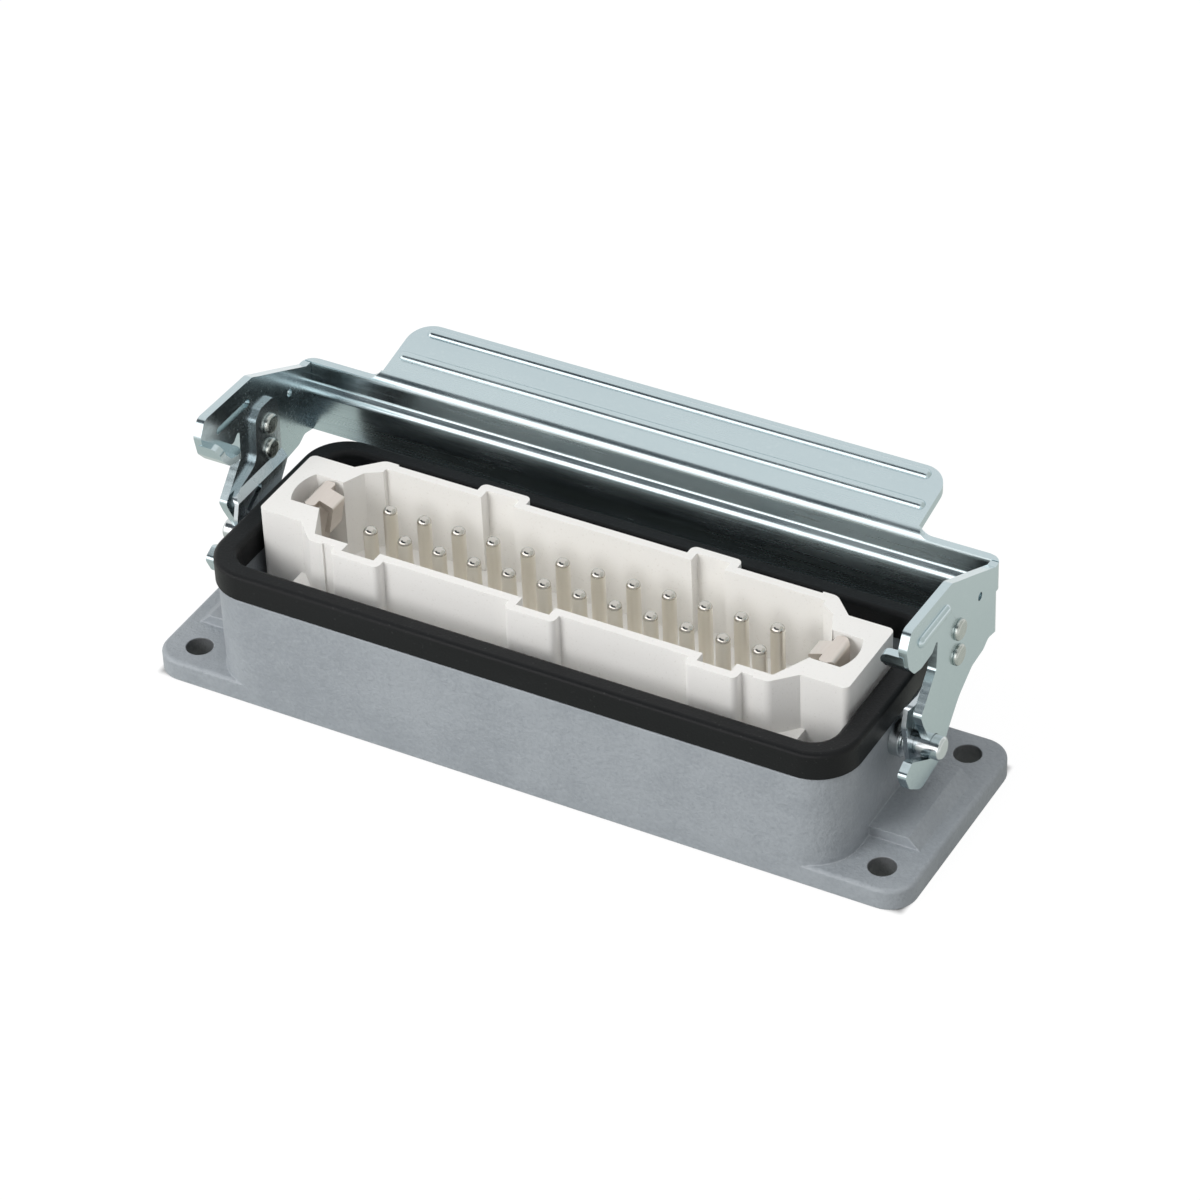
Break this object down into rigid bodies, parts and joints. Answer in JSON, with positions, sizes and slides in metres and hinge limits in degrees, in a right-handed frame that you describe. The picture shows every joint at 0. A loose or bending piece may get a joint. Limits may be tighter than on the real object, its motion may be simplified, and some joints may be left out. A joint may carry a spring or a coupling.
{
  "type": "heavy duty rectangular connector",
  "caption": "Bulkhead-mounted rectangular power connector: cast housing with rim gasket, moulded insert with two rows of pins and a folded sheet-steel locking lever on pivot pegs.",
  "frame": {"origin": "centre of the fixing hole pattern on the mounting face (underside of the flange)", "axes": "+X along the connector, +Y from the open front towards the lever's web and handle, +Z out of the panel towards the mating connector"},
  "size_m": [0.143, 0.0604, 0.0465],
  "materials": {
    "grey_paint": "fine-textured powder coat, satin",
    "black_rubber": "satin",
    "white_moulding": "satin moulded",
    "silvered_pin": "silver plated, satin",
    "terminal_brass": "plated",
    "zinc_screws": "zinc plated",
    "earth_strip": "nickel plated, satin",
    "peg_steel": "bright turned",
    "zinc_sheet": "bright blue zinc plated",
    "spring_steel": "bright",
    "rivet_steel": "satin"
  },
  "bodies": {
    "base": {"housing": "grey_paint", "rim_gasket": "black_rubber", "panel_seal": "black_rubber", "insert_body": "white_moulding", "contact_pin_01": "silvered_pin", "contact_pin_02": "silvered_pin", "contact_pin_03": "silvered_pin", "contact_pin_04": "silvered_pin", "contact_pin_05": "silvered_pin", "contact_pin_06": "silvered_pin", "contact_pin_07": "silvered_pin", "contact_pin_08": "silvered_pin", "contact_pin_09": "silvered_pin", "contact_pin_10": "silvered_pin", "contact_pin_11": "silvered_pin", "contact_pin_12": "silvered_pin", "contact_pin_13": "silvered_pin", "contact_pin_14": "silvered_pin", "contact_pin_15": "silvered_pin", "contact_pin_16": "silvered_pin", "contact_pin_17": "silvered_pin", "contact_pin_18": "silvered_pin", "contact_pin_19": "silvered_pin", "contact_pin_20": "silvered_pin", "contact_pin_21": "silvered_pin", "contact_pin_22": "silvered_pin", "contact_pin_23": "silvered_pin", "contact_pin_24": "silvered_pin", "terminal_blocks": "terminal_brass", "terminal_screws": "zinc_screws", "insert_screws": "zinc_screws", "earth_screws": "zinc_screws", "earth_contact_left": "earth_strip", "earth_contact_right": "earth_strip", "pivot_peg_left": "peg_steel", "pivot_peg_right": "peg_steel"},
    "lever": {"locking_lever": "zinc_sheet", "leaf_spring_left": "spring_steel", "leaf_spring_right": "spring_steel", "lever_rivets": "rivet_steel"}
  },
  "joints": [
    {"name": "lever_hinge", "type": "hinge", "parent": "base", "child": "lever", "pos_m": [0, 0, 0.01765], "axis": [-1, 0, 0], "range_deg": [0, 40]}
  ]
}
